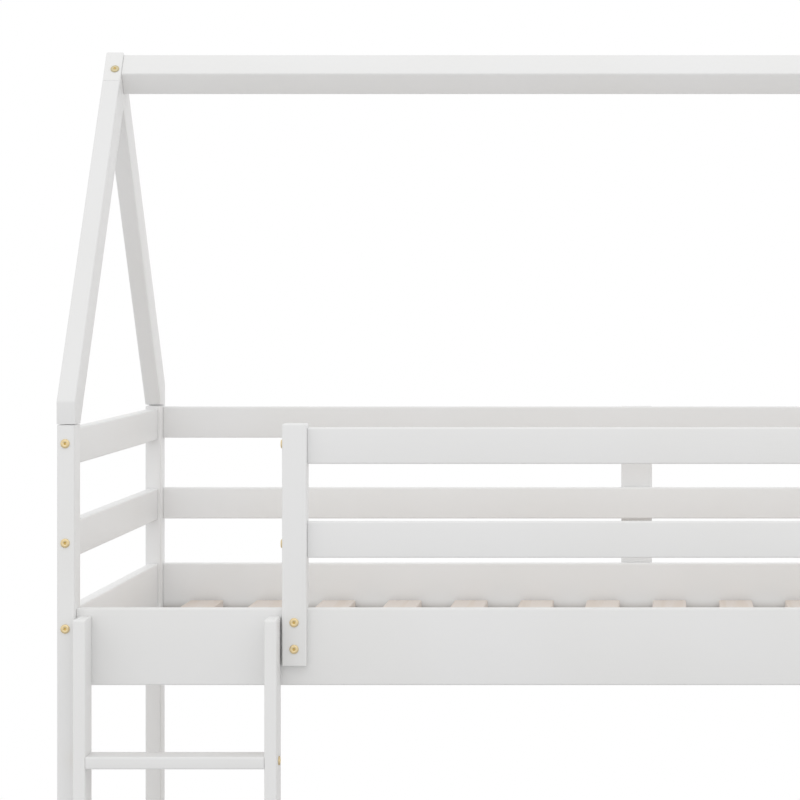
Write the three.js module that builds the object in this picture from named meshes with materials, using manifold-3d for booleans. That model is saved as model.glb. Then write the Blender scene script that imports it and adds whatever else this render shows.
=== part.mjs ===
// A bunk bed with a house-shaped roof frame, in white painted pine.
// Lengths are in millimetres and +Z is up. While the bed is laid out, x = 0 is the middle of its
// length, y = 0 is the front face of the front posts and z = 0 is the floor. At the end the whole
// group is moved so that the floor point under the middle of the bed is the origin.

import * as THREE from 'three';
import { mergeVertices } from 'three/addons/utils/BufferGeometryUtils.js';
import Module from 'manifold-3d';

const wasm = await Module();
wasm.setup();

// Overall frame
const frameLength = 2060;
const frameDepth = 980;
const overallHeight = 2300;
const postHeight = 1594.5;
const rafterHeelHeight = 41;

// Boards
const postWidth = 32;
const postDepth = 54;
const boardThickness = 22;
const railHeight = 65.3;
const sideRailHeight = 138.6;
const rafterThickness = 34;
const rafterDepth = 66;
const ridgeBlockOverhang = 4.8;
const ridgeBeamThickness = 46.8;
const ridgeBeamDrop = 6.4;
const braceWidth = 65;
const braceThickness = 18;

// How the pieces meet
const edgeEase = 3;
const sharpCornerShare = 1.15;
const fitGap = 0.3;
const frontRailSetback = 16;
const endRailSetback = 4;

// Rails of the upper bunk, counted down from the top of the posts
const topRailDrop = 7.4;
const middleRailGap = 104;
const sideRailGap = 91;

// How far some boards lie below or above the front boards of their row
const endTopRailDrop = 1.9;
const backTopRailRise = 1.2;
const endBoardDrop = 1.4;
const backSideRailDrop = 3.3;

// Height of the lower bunk, above the floor
const lowerSideRailTop = 352;

// Slats and the ledgers that carry them
const slatCount = 14;
const slatWidth = 70;
const slatPostGap = 58.2;
const slatThickness = 18;
const slatDrop = 80;
const slatEndGap = 1;
const slatEase = 2;
const ledgerHeight = 28;
const ledgerEndGap = 6;
const tapeWidth = 25;
const tapeThickness = 1.6;
const tapeSeat = 0.6;
const tapeInset = 230;

// Ladder
const rungCount = 4;
const topRungDrop = 258.5;
const rungThickness = 22;
const stringerWidth = 22;
const stringerDepth = 64;
const ladderClearance = 6;
const ladderWidth = 363;
const ladderDrop = 15.5;

// Guard post beside the ladder
const guardPostWidth = 44;
const guardPostClearance = 3.5;
const guardPostOverlap = 102;

// Connector bolts
const boltHeadDiameter = 16.5;
const boltHeadHeight = 3;
const boltHeadRim = 1.6;
const boltCrownShare = 0.62;
const boltShankDiameter = 7;
const boltHoleClearance = 0.6;
const boltSocketWidth = 4.6;
const boltSocketDepth = 3.4;
const postBoltLength = 92;
const guardBoltTipDepth = 4;
const ridgeBoltLength = 96;
const topBoltDrop = 27.8;
const middleBoltDrop = 37.5;
const boardBoltDrop = 34.1;
const guardBoltDrops = [24, 72];
const ridgeBoltShare = 0.957;
const ridgeBoltOffset = 4.4;
const boltSides = 20;
const hexSides = 6;
const pitchPasses = 6;
const cutOverrun = 2;

const paint = new THREE.MeshStandardMaterial({ color: 0xe9e9e7, roughness: 0.55, metalness: 0 });
const pine = new THREE.MeshStandardMaterial({ color: 0xdccfc0, roughness: 0.7, metalness: 0 });
const webbing = new THREE.MeshStandardMaterial({ color: 0xe6e2d8, roughness: 0.9, metalness: 0 });
const brass = new THREE.MeshStandardMaterial({ color: 0xd9be78, roughness: 0.35, metalness: 0.9 });

const bed = new THREE.Group();

// Shared places, worked out from the sizes above
const postOuterX = frameLength / 2;
const postInnerX = postOuterX - postWidth;
const frontRailBackY = frontRailSetback + boardThickness;
const backRailFrontY = frameDepth - boardThickness;
const backPostFrontY = frameDepth - postDepth;
const midY = frameDepth / 2;
const endRailOuterX = postOuterX - endRailSetback;
const ladderLeftX = -postInnerX + ladderClearance;
const ladderRightX = ladderLeftX + ladderWidth;
const guardPostLeftX = ladderRightX + guardPostClearance;
const guardPostRightX = guardPostLeftX + guardPostWidth;
const topRailTop = postHeight - topRailDrop;
const endTopRailTop = topRailTop - endTopRailDrop;
const backTopRailTop = topRailTop + backTopRailRise;
const middleRailTop = topRailTop - railHeight - middleRailGap;
const upperSideRailTop = middleRailTop - railHeight - sideRailGap;
const upperEndBoardTop = upperSideRailTop - endBoardDrop;
const lowerEndBoardTop = lowerSideRailTop - endBoardDrop;
const upperBackSideRailTop = upperSideRailTop - backSideRailDrop;
const lowerBackSideRailTop = lowerSideRailTop - backSideRailDrop;

// Every board is an outline on its broad face, carried through its thickness.
// A plane says which two directions the outline lies in and which way the thickness runs.
const axisX = new THREE.Vector3(1, 0, 0);
const axisY = new THREE.Vector3(0, 1, 0);
const axisZ = new THREE.Vector3(0, 0, 1);
const planes = {
  front: { across: axisX, up: axisZ, through: axisY.clone().negate() },
  side: { across: axisY, up: axisZ, through: axisX },
  top: { across: axisX, up: axisY, through: axisZ }
};

function rectangle(left, bottom, right, top) {
  return [
    new THREE.Vector2(left, bottom),
    new THREE.Vector2(right, bottom),
    new THREE.Vector2(right, top),
    new THREE.Vector2(left, top)
  ];
}

// How far along both of its sides a corner is cut. A sharp corner is cut further back than a
// square one, because the bevel on the broad faces has to leave something of the short edge.
function cornerCut(halfAngle, ease) {
  const leastCut = ease * Math.tan(Math.PI / 4 - halfAngle / 2) / Math.sin(halfAngle);
  return Math.max(ease, leastCut * sharpCornerShare);
}

// Cuts the outward corners of an outline
function easedOutline(corners, ease) {
  const points = [];
  corners.forEach((corner, index) => {
    const before = corners.at(index - 1).clone().sub(corner);
    const after = corners[(index + 1) % corners.length].clone().sub(corner);
    if (after.cross(before) <= 0) {
      points.push(corner);
      return;
    }
    const reach = cornerCut(before.angleTo(after) / 2, ease);
    points.push(corner.clone().add(before.setLength(reach)));
    points.push(corner.clone().add(after.setLength(reach)));
  });
  return new THREE.Shape(points);
}

function addBoard(name, plane, corners, from, to, material = paint, ease = edgeEase) {
  const { across, up, through } = planes[plane];
  const centre = new THREE.Box2().setFromPoints(corners).getCenter(new THREE.Vector2());
  const outline = easedOutline(corners.map((corner) => corner.clone().sub(centre)), ease);
  const flatThickness = Math.abs(to - from) - 2 * ease;
  const geometry = new THREE.ExtrudeGeometry(outline, {
    depth: flatThickness,
    steps: 1,
    bevelThickness: ease,
    bevelSize: ease,
    bevelOffset: -ease,
    bevelSegments: 1
  });
  geometry.translate(0, 0, -flatThickness / 2);
  const board = new THREE.Mesh(geometry, material);
  board.name = name;
  board.quaternion.setFromRotationMatrix(new THREE.Matrix4().makeBasis(across, up, through));
  board.position.addScaledVector(across, centre.x);
  board.position.addScaledVector(up, centre.y);
  board.position.addScaledVector(axisOf(through), (from + to) / 2);
  board.updateMatrix();
  bed.add(board);
  return board;
}

function axisOf(direction) {
  return new THREE.Vector3(Math.abs(direction.x), Math.abs(direction.y), Math.abs(direction.z));
}

// Solids for cutting and joining
function solidFrom(geometry) {
  const bare = geometry.clone();
  bare.deleteAttribute('normal');
  bare.deleteAttribute('uv');
  const merged = mergeVertices(bare);
  const mesh = new wasm.Mesh({
    numProp: 3,
    vertProperties: merged.attributes.position.array,
    triVerts: merged.index.array
  });
  mesh.merge();
  return new wasm.Manifold(mesh);
}

function geometryFrom(solid) {
  const mesh = solid.getMesh();
  const geometry = new THREE.BufferGeometry();
  geometry.setAttribute('position', new THREE.BufferAttribute(mesh.vertProperties, 3));
  geometry.setIndex(new THREE.BufferAttribute(mesh.triVerts, 1));
  geometry.computeVertexNormals();
  return geometry;
}

// Takes a cutter that is placed in the bed out of a board
function cut(board, cutter) {
  const toBoard = board.matrix.clone().invert().multiply(cutter.matrix);
  const cutterSolid = solidFrom(cutter.geometry.clone().applyMatrix4(toBoard));
  board.geometry = geometryFrom(solidFrom(board.geometry).subtract(cutterSolid));
}

// Something round that points along a direction, with local +Y along it
function pointed(geometry, place, direction) {
  const mesh = new THREE.Mesh(geometry, brass);
  mesh.position.copy(place);
  mesh.quaternion.setFromUnitVectors(axisY, direction);
  mesh.updateMatrix();
  return mesh;
}

// A bolt hole starts at the seat of the head and runs into the wood
function boltHole(seat, outward, length) {
  const radius = boltShankDiameter / 2 + boltHoleClearance;
  const depth = length + cutOverrun;
  const hole = new THREE.CylinderGeometry(radius, radius, depth + cutOverrun, boltSides);
  hole.translate(0, (cutOverrun - depth) / 2, 0);
  return pointed(hole, seat, outward);
}

// A connector bolt: a low domed head with a hex socket, on a plain shank
function boltGeometry(length) {
  const headRadius = boltHeadDiameter / 2;
  const shankRadius = boltShankDiameter / 2;
  const profile = [
    new THREE.Vector2(0, fitGap - length),
    new THREE.Vector2(shankRadius, fitGap - length),
    new THREE.Vector2(shankRadius, fitGap),
    new THREE.Vector2(headRadius, fitGap),
    new THREE.Vector2(headRadius, boltHeadRim),
    new THREE.Vector2(headRadius * boltCrownShare, boltHeadHeight),
    new THREE.Vector2(0, boltHeadHeight)
  ];
  const body = solidFrom(new THREE.LatheGeometry(profile, boltSides));
  const socketRadius = boltSocketWidth / Math.sqrt(3);
  const socketHeight = boltSocketDepth + cutOverrun;
  const socket = new THREE.CylinderGeometry(socketRadius, socketRadius, socketHeight, hexSides);
  socket.translate(0, boltHeadHeight - boltSocketDepth + socketHeight / 2, 0);
  return geometryFrom(body.subtract(solidFrom(socket)));
}

function addBolt(name, seat, outward, length, boards) {
  const hole = boltHole(seat, outward, length);
  boards.forEach((board) => cut(board, hole));
  const bolt = pointed(boltGeometry(length), seat, outward);
  bolt.name = name;
  bed.add(bolt);
}

// The four corner posts, from the floor to the foot of the rafters
function addPost(name, sideSign, frontY) {
  const [left, right] = [postInnerX, postOuterX].map((x) => sideSign * x).sort((a, b) => a - b);
  const face = rectangle(frontY, 0, frontY + postDepth, postHeight);
  return addBoard(name, 'side', face, left, right);
}

const posts = {
  frontLeft: addPost('post_front_left', -1, 0),
  frontRight: addPost('post_front_right', 1, 0),
  backLeft: addPost('post_back_left', -1, backPostFrontY),
  backRight: addPost('post_back_right', 1, backPostFrontY)
};

// The roof: at each end two rafters rise from the posts and meet on a diamond-shaped ridge block.
// The eased tip of the block is the highest point of the bed, and the sharp peak above it sets the
// pitch, which in turn sets how far the peak lies above the tip. A few passes settle the two.
const heelZ = postHeight + rafterHeelHeight;
let peakZ = overallHeight;
let roofPitch = Math.atan2(peakZ - heelZ, midY);
for (let pass = 0; pass < pitchPasses; pass += 1) {
  peakZ = overallHeight + cornerCut(Math.PI / 2 - roofPitch, edgeEase) * Math.sin(roofPitch);
  roofPitch = Math.atan2(peakZ - heelZ, midY);
}
const rafterEndLength = rafterDepth / Math.sin(2 * roofPitch);
const blockSide = rafterEndLength + ridgeBlockOverhang;
const endGap = fitGap / Math.sin(2 * roofPitch);
const rafterCentreX = (postOuterX + postInnerX) / 2;

// A diamond in the roof's cross-section, its four sides parallel to the two slopes
function roofDiamond(side, centreZ) {
  const halfWidth = side * Math.cos(roofPitch);
  const halfHeight = side * Math.sin(roofPitch);
  return [
    new THREE.Vector2(midY, centreZ - halfHeight),
    new THREE.Vector2(midY + halfWidth, centreZ),
    new THREE.Vector2(midY, centreZ + halfHeight),
    new THREE.Vector2(midY - halfWidth, centreZ)
  ];
}

// The front rafter's outline. The back one is its mirror image about the middle of the bed.
function rafterOutline() {
  const upSlope = new THREE.Vector2(Math.cos(roofPitch), Math.sin(roofPitch));
  const downBackSlope = new THREE.Vector2(Math.cos(roofPitch), -Math.sin(roofPitch));
  const footZ = postHeight + fitGap;
  const peak = new THREE.Vector2(midY, peakZ);
  const outerEnd = peak.clone().addScaledVector(upSlope, -(blockSide + endGap));
  const innerEnd = outerEnd.clone().addScaledVector(downBackSlope, rafterEndLength);
  const innerFootY = innerEnd.x - (innerEnd.y - footZ) / Math.tan(roofPitch);
  return [
    new THREE.Vector2(0, footZ),
    new THREE.Vector2(innerFootY, footZ),
    innerEnd,
    outerEnd,
    new THREE.Vector2(0, heelZ)
  ];
}

function mirroredInY(corners) {
  return corners.map((corner) => new THREE.Vector2(frameDepth - corner.x, corner.y)).reverse();
}

function addRoofEnd(side, sideSign) {
  const centreX = sideSign * rafterCentreX;
  const faces = [centreX - rafterThickness / 2, centreX + rafterThickness / 2];
  const blockOutline = roofDiamond(blockSide, peakZ - blockSide * Math.sin(roofPitch));
  return {
    front: addBoard(`rafter_front_${side}`, 'side', rafterOutline(), ...faces),
    back: addBoard(`rafter_back_${side}`, 'side', mirroredInY(rafterOutline()), ...faces),
    block: addBoard(`ridge_block_${side}`, 'side', blockOutline, ...faces)
  };
}

const leftRoof = addRoofEnd('left', -1);
addRoofEnd('right', 1);

const blockInnerX = rafterCentreX - rafterThickness / 2;
const beamEndX = blockInnerX - fitGap;
const beamSide = ridgeBeamThickness / Math.sin(2 * roofPitch);
const beamCentreZ = peakZ - ridgeBeamDrop - beamSide * Math.sin(roofPitch);
addBoard('ridge_beam', 'side', roofDiamond(beamSide, beamCentreZ), -beamEndX, beamEndX);

// Rails across the two ends of each bunk, set between the front and back posts
function addEndRail(name, sideSign, top, height) {
  const [left, right] = [endRailOuterX - boardThickness, endRailOuterX]
    .map((x) => sideSign * x)
    .sort((a, b) => a - b);
  const face = rectangle(postDepth + fitGap, top - height, backPostFrontY - fitGap, top);
  return addBoard(name, 'side', face, left, right);
}

function addEnd(side, sideSign) {
  return {
    top: addEndRail(`upper_end_rail_top_${side}`, sideSign, endTopRailTop, railHeight),
    middle: addEndRail(`upper_end_rail_middle_${side}`, sideSign, middleRailTop, railHeight),
    board: addEndRail(`upper_end_board_${side}`, sideSign, upperEndBoardTop, sideRailHeight),
    lower: addEndRail(`lower_end_board_${side}`, sideSign, lowerEndBoardTop, sideRailHeight)
  };
}

const leftEnd = addEnd('left', -1);
addEnd('right', 1);

// Rails along the bed, between the posts of the front or of the back
function addLongRail(name, leftX, frontY, top, height) {
  const face = rectangle(leftX + fitGap, top - height, postInnerX - fitGap, top);
  return addBoard(name, 'front', face, frontY, frontY + boardThickness);
}

const upperSideRail = addLongRail(
  'upper_front_side_rail', -postInnerX, frontRailSetback, upperSideRailTop, sideRailHeight
);
addLongRail('upper_back_side_rail', -postInnerX, backRailFrontY, upperBackSideRailTop, sideRailHeight);
addLongRail('back_rail_top', -postInnerX, backRailFrontY, backTopRailTop, railHeight);
addLongRail('back_rail_middle', -postInnerX, backRailFrontY, middleRailTop, railHeight);
addLongRail('lower_front_side_rail', -postInnerX, frontRailSetback, lowerSideRailTop, sideRailHeight);
addLongRail('lower_back_side_rail', -postInnerX, backRailFrontY, lowerBackSideRailTop, sideRailHeight);

// An upright brace behind the middle of the three upper back rails
const braceFrontY = frameDepth + fitGap;
const braceBackY = braceFrontY + braceThickness;
const braceBottom = upperBackSideRailTop - sideRailHeight;
const braceFace = rectangle(-braceWidth / 2, braceBottom, braceWidth / 2, backTopRailTop);
addBoard('back_brace', 'front', braceFace, braceFrontY, braceBackY);

// The guard post beside the entry. Its lower end is rebated to lap over the side rail.
const guardPostBottom = upperSideRailTop - guardPostOverlap;
const guardShoulderZ = upperSideRailTop + fitGap;
const guardTongueBackY = frontRailSetback - fitGap;
const guardPostOutline = [
  new THREE.Vector2(0, guardPostBottom),
  new THREE.Vector2(guardTongueBackY, guardPostBottom),
  new THREE.Vector2(guardTongueBackY, guardShoulderZ),
  new THREE.Vector2(frontRailBackY, guardShoulderZ),
  new THREE.Vector2(frontRailBackY, postHeight),
  new THREE.Vector2(0, postHeight)
];
const guardPost = addBoard('guard_post', 'side', guardPostOutline, guardPostLeftX, guardPostRightX);
addLongRail('guard_rail_top', guardPostRightX, frontRailSetback, topRailTop, railHeight);
addLongRail('guard_rail_middle', guardPostRightX, frontRailSetback, middleRailTop, railHeight);

// The fixed ladder, upright against the front side rails
const stringerBackY = frontRailSetback - fitGap;
const stringerFrontY = stringerBackY - stringerDepth;
const stringerTop = upperSideRailTop - ladderDrop;
const stringerFace = rectangle(stringerFrontY, 0, stringerBackY, stringerTop);
addBoard('ladder_stringer_left', 'side', stringerFace, ladderLeftX, ladderLeftX + stringerWidth);
addBoard('ladder_stringer_right', 'side', stringerFace, ladderRightX - stringerWidth, ladderRightX);

const rungLeftX = ladderLeftX + stringerWidth + fitGap;
const rungRightX = ladderRightX - stringerWidth - fitGap;
const rungFace = rectangle(rungLeftX, stringerFrontY, rungRightX, stringerBackY);
const topRungTop = upperSideRailTop - topRungDrop;
for (let rung = 1; rung <= rungCount; rung += 1) {
  const rungTop = topRungTop * rung / rungCount;
  addBoard(`ladder_rung_${rung}`, 'top', rungFace, rungTop - rungThickness, rungTop);
}

// Ledgers along the inside of the side rails, and the slats that lie on them
function addLedgers(bunk, sideRailTop) {
  const top = sideRailTop - slatDrop - slatThickness - fitGap;
  const endX = postInnerX - ledgerEndGap;
  const face = rectangle(-endX, top - ledgerHeight, endX, top);
  const frontY = frontRailBackY + fitGap;
  const backY = backRailFrontY - fitGap;
  addBoard(`${bunk}_ledger_front`, 'front', face, frontY, frontY + boardThickness);
  addBoard(`${bunk}_ledger_back`, 'front', face, backY - boardThickness, backY);
}

addLedgers('upper', upperSideRailTop);
addLedgers('lower', lowerSideRailTop);

const slatFrontY = frontRailBackY + slatEndGap;
const slatBackY = backRailFrontY - slatEndGap;
const slatPitch = (2 * (postInnerX - slatPostGap) - slatWidth) / (slatCount - 1);

function slatCentreX(index) {
  return (index - (slatCount - 1) / 2) * slatPitch;
}

function addSlat(name, index, top) {
  const left = slatCentreX(index) - slatWidth / 2;
  const face = rectangle(left, slatFrontY, left + slatWidth, slatBackY);
  return addBoard(name, 'top', face, top - slatThickness, top, pine, slatEase);
}

const upperSlatTop = upperSideRailTop - slatDrop;
for (let index = 0; index < slatCount; index += 1) {
  addSlat(`upper_slat_${String(index + 1).padStart(2, '0')}`, index, upperSlatTop);
}

// The lower bunk's slats are joined into one mat by two tapes glued along their tops
const lowerSlatTop = lowerSideRailTop - slatDrop;
const tapeEndX = slatCentreX(slatCount - 1) + slatWidth / 2 - slatEase - fitGap;
const tapeBottomZ = lowerSlatTop - tapeSeat;
const slatMat = addSlat('lower_slat_mat', 0, lowerSlatTop);
let matSolid = solidFrom(slatMat.geometry);
for (let index = 1; index < slatCount; index += 1) {
  matSolid = matSolid.add(solidFrom(slatMat.geometry.clone().translate(index * slatPitch, 0, 0)));
}
for (const tapeY of [slatFrontY + tapeInset, slatBackY - tapeInset]) {
  const tape = new THREE.BoxGeometry(2 * tapeEndX, tapeWidth, tapeThickness);
  tape.translate(0, tapeY, tapeBottomZ + tapeThickness / 2);
  matSolid = matSolid.add(solidFrom(tape.applyMatrix4(slatMat.matrix.clone().invert())));
}
slatMat.geometry = geometryFrom(matSolid);

// Bolts through the front left post into the ends of the three rails behind it
const towardsFront = axisY.clone().negate();
const postBoltX = boardThickness / 2 - endRailOuterX;
const endRailBolts = [
  ['post_bolt_top', topRailTop - topBoltDrop, leftEnd.top],
  ['post_bolt_middle', middleRailTop - middleBoltDrop, leftEnd.middle],
  ['post_bolt_bottom', upperEndBoardTop - boardBoltDrop, leftEnd.board]
];
for (const [name, z, rail] of endRailBolts) {
  const seat = new THREE.Vector3(postBoltX, 0, z);
  addBolt(name, seat, towardsFront, postBoltLength, [posts.frontLeft, rail]);
}

// Two bolts hold the guard post's lapped end to the side rail
const guardPostCentreX = (guardPostLeftX + guardPostRightX) / 2;
const guardBoltLength = frontRailBackY - guardBoltTipDepth;
guardBoltDrops.forEach((drop, index) => {
  const seat = new THREE.Vector3(guardPostCentreX, 0, upperSideRailTop - drop);
  const name = `guard_post_bolt_${index + 1}`;
  addBolt(name, seat, towardsFront, guardBoltLength, [guardPost, upperSideRail]);
});

// A bolt square through the ridge block's front slope into the end of the back rafter, on the
// inner side of the block's middle so that its twin from the other slope can pass it
const ridgeBoltDrop = ridgeBoltShare * blockSide * Math.sin(roofPitch) ** 2;
const ridgeBoltSeat = new THREE.Vector3(
  ridgeBoltOffset - rafterCentreX,
  midY - ridgeBoltDrop * Math.cos(roofPitch),
  peakZ - ridgeBoltDrop * Math.sin(roofPitch)
);
const outOfFrontSlope = new THREE.Vector3(0, -Math.sin(roofPitch), Math.cos(roofPitch));
addBolt('ridge_bolt', ridgeBoltSeat, outOfFrontSlope, ridgeBoltLength, [leftRoof.block, leftRoof.back]);

// The origin is on the floor, under the middle of everything from the ladder to the brace
bed.position.y = -(stringerFrontY + braceBackY) / 2;

export default bed;
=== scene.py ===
# %% [markdown]
# # A house bunk bed in white painted pine
# This file dresses the finished model of a bunk bed whose four posts carry a house-shaped roof
# frame. The model already has the right sizes, so nothing here is measured again: every board is
# made where its solid stands, with rounder edges, and gets its paint, and the slats, the tapes
# and the bolts are made with more detail than the solids have.
#
# All lengths are in metres. X runs along the bed, Y from the ladder side to the wall side, Z up.

import bmesh
import bpy
from math import atan2, cos, degrees, pi, radians, sin, tan
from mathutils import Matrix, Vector


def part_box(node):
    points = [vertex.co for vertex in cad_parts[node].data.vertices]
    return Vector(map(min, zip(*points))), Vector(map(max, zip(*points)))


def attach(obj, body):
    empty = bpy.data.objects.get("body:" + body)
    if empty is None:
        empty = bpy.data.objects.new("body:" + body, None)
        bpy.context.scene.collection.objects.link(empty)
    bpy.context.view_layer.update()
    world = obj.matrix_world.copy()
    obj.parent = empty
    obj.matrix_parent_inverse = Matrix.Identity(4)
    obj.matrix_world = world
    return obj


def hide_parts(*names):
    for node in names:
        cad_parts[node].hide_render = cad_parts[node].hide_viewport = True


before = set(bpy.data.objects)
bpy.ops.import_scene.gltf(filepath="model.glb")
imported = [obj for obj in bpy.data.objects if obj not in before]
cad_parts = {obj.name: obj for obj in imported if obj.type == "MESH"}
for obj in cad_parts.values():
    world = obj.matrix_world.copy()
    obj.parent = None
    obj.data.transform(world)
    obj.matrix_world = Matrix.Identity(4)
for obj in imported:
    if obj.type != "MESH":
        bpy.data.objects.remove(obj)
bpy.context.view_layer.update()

# %% [markdown]
# ## The camera
# The picture is a close view of the upper left part of the bed. The edges that run away from us
# meet at one point right of the middle and above it, so the camera looks level and straight at the
# bed, and the picture is a piece cut out of a wider one. A lens shift frames that piece without
# turning the camera, which keeps the upright edges upright.

# %% Place the camera
camera_data = bpy.data.cameras.new("picture_camera")
camera_data.sensor_width = 36
camera_data.lens = 138.70
camera_data.shift_x = -0.3438
camera_data.shift_y = -0.1420
camera = bpy.data.objects.new("picture_camera", camera_data)
camera.location = (0.08139, -6.01586, 1.842)
camera.rotation_euler = (radians(90), 0, 0)
bpy.context.collection.objects.link(camera)
bpy.context.scene.camera = camera

# %% [markdown]
# ## Light
# The bed stands in a white room with light from all round, as in a studio with white walls. The
# world gives that even light, and the floor sends back only some of it, so faces that look up are
# lighter than those that look down. A broad soft lamp hangs high in front and adds a little to the
# faces that look at us. What the camera, a mirror or glass sees of the world is plain white, and
# that part gives no light of its own.

# %% Light the studio
world = bpy.data.worlds.new("white_studio")
world.use_nodes = True
bpy.context.scene.world = world
bpy.context.scene.view_settings.view_transform = "Standard"


def node(tree, kind, inputs=None, **settings):
    """Adds a node, sets its properties and then the values of its inputs."""
    made = tree.nodes.new(kind)
    for name, value in settings.items():
        setattr(made, name, value)
    for name, value in (inputs or {}).items():
        made.inputs[name].default_value = value
    return made


WHITE = (1, 1, 1, 1)
room_strength = 0.945
tree = world.node_tree
tree.nodes.clear()
room_light = node(tree, "ShaderNodeBackground", inputs={"Color": WHITE, "Strength": room_strength})
seen_white = node(tree, "ShaderNodeBackground", inputs={"Color": WHITE})
rays = node(tree, "ShaderNodeLightPath")
camera_or_glossy = node(tree, "ShaderNodeMath", operation="MAXIMUM")
seen = node(tree, "ShaderNodeMath", operation="MAXIMUM")
choice = node(tree, "ShaderNodeMixShader")
out = node(tree, "ShaderNodeOutputWorld")
tree.links.new(rays.outputs["Is Camera Ray"], camera_or_glossy.inputs[0])
tree.links.new(rays.outputs["Is Glossy Ray"], camera_or_glossy.inputs[1])
tree.links.new(camera_or_glossy.outputs[0], seen.inputs[0])
tree.links.new(rays.outputs["Is Transmission Ray"], seen.inputs[1])
tree.links.new(seen.outputs[0], choice.inputs["Fac"])
tree.links.new(room_light.outputs[0], choice.inputs[1])
tree.links.new(seen_white.outputs[0], choice.inputs[2])
tree.links.new(choice.outputs[0], out.inputs["Surface"])

lamp_data = bpy.data.lights.new("soft_lamp", "SUN")
lamp_data.energy = 0.28
lamp_data.angle = radians(80)
lamp = bpy.data.objects.new("soft_lamp", lamp_data)
lamp.rotation_euler = (radians(40), 0, 0)
bpy.context.collection.objects.link(lamp)
shines = lamp.rotation_euler.to_matrix() @ Vector((0, 0, -1))
print("the lamp shines", tuple(round(part, 2) for part in shines))

# %% [markdown]
# ## The floor
# A pale round floor takes the shadow of the bed. Towards its rim it turns into the white of the
# background, by a gradient from its own middle, so that no edge shows from any side. The camera
# sees a pale floor, but the light that it throws up at the bed is that of a greyer one, because
# the undersides in the picture are in soft shade.

# %% Lay the floor
floor_radius = 5.0
fade_start = 2.0
white_rim = 0.5
floor_bounce = (0.60, 0.60, 0.60, 1)
floor_look = (0.92, 0.92, 0.92, 1)
floor_mesh = bpy.data.meshes.new("floor")
shape = bmesh.new()
bmesh.ops.create_circle(shape, cap_ends=True, segments=96, radius=floor_radius)
shape.to_mesh(floor_mesh)
shape.free()
floor = bpy.data.objects.new("floor", floor_mesh)
bpy.context.collection.objects.link(floor)

floor_paint = bpy.data.materials.new("studio_floor")
floor_paint.use_nodes = True
tree = floor_paint.node_tree
tree.nodes.clear()
place = node(tree, "ShaderNodeTexCoord")
distance = node(tree, "ShaderNodeVectorMath", operation="LENGTH")
fade = node(tree, "ShaderNodeMapRange", interpolation_type="SMOOTHSTEP",
            inputs={"From Min": fade_start, "From Max": floor_radius - white_rim})
seen_by_eye = node(tree, "ShaderNodeMath", operation="MULTIPLY")
rays = node(tree, "ShaderNodeLightPath")
matt = node(tree, "ShaderNodeBsdfDiffuse")
floor_colour = node(tree, "ShaderNodeMix", data_type="RGBA",
                    inputs={"A": floor_bounce, "B": floor_look})
tree.links.new(rays.outputs["Is Camera Ray"], floor_colour.inputs["Factor"])
tree.links.new(floor_colour.outputs["Result"], matt.inputs["Color"])
white = node(tree, "ShaderNodeEmission", inputs={"Color": WHITE})
choice = node(tree, "ShaderNodeMixShader")
out = node(tree, "ShaderNodeOutputMaterial")
tree.links.new(place.outputs["Object"], distance.inputs[0])
tree.links.new(distance.outputs["Value"], fade.inputs["Value"])
tree.links.new(fade.outputs["Result"], seen_by_eye.inputs[0])
tree.links.new(rays.outputs["Is Camera Ray"], seen_by_eye.inputs[1])
tree.links.new(seen_by_eye.outputs[0], choice.inputs["Fac"])
tree.links.new(matt.outputs[0], choice.inputs[1])
tree.links.new(white.outputs[0], choice.inputs[2])
tree.links.new(choice.outputs[0], out.inputs["Surface"])
floor.data.materials.append(floor_paint)
print("the floor is", 2 * floor_radius, "m across")

# %% [markdown]
# ## White paint on pine
# The boards are sprayed with a satin white lacquer. It is nearly even, but not quite: the pine's
# grain stands up a few hundredths of a millimetre under it and pulls the shine into long streaks,
# and the white is a touch warmer in some places than in others. A picture of wood could do this,
# but noise that is stretched along the board does it at any size and needs no file.
#
# The grain runs along each board, so there is one paint for each direction that boards run in. A
# Mapping node turns the pattern for the rafters, whose grain climbs at the pitch of the roof.
#
# Some boards get lighter or darker copies of the paint, which paint light and shade into their
# colour. The inner boards of the upper bunk get a lighter mix, painted light, because they show a
# shade lighter than their place in the shade would make them. The front rafters get a darker one,
# painted shade, because they catch the most light and still aren't the whitest. On the back side
# rail a painted shade darkens the colour downwards towards the slats, where it stands in for the
# deep shade behind them.

# %% Mix the white paint
paint_white = (0.830, 0.830, 0.829, 1)
paint_warm = (0.817, 0.815, 0.808, 1)
# Lifts for the lighter and darker copies of the paint: painted light and painted shade.
painted_light_lift, painted_shade_lift = 1.045, 0.965
# A darker, greyer colour for painted shade on the back side rail below the slats' tops, the height
# where it starts and how far down it becomes full.
painted_shade_colour = (0.58, 0.565, 0.545, 1)
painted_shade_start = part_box("upper_slat_01")[1].z + 0.0025
painted_shade_reach = 0.018
cloud_scale, grain_scale, peel_scale = 3.1, 420.0, 900.0
grain_squeeze = 0.04
noise_middle = (0.3, 0.7)
cloud_middle = (0.35, 0.65)
satin = (0.40, 0.50)


def new_material(name):
    material = bpy.data.materials.new(name)
    material.use_nodes = True
    material.node_tree.nodes.clear()
    shader = node(material.node_tree, "ShaderNodeBsdfPrincipled")
    out = node(material.node_tree, "ShaderNodeOutputMaterial")
    material.node_tree.links.new(shader.outputs[0], out.inputs["Surface"])
    return material, material.node_tree, shader


def grain_place(tree, turn=(0, 0, 0), stretch=(1, 1, 1)):
    """Coordinates in metres, turned and then squeezed along the grain."""
    place = node(tree, "ShaderNodeTexCoord")
    turned = node(tree, "ShaderNodeMapping", inputs={"Rotation": turn})
    stretched = node(tree, "ShaderNodeMapping", inputs={"Scale": stretch})
    tree.links.new(place.outputs["Object"], turned.inputs["Vector"])
    tree.links.new(turned.outputs["Vector"], stretched.inputs["Vector"])
    return stretched.outputs["Vector"]


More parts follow.
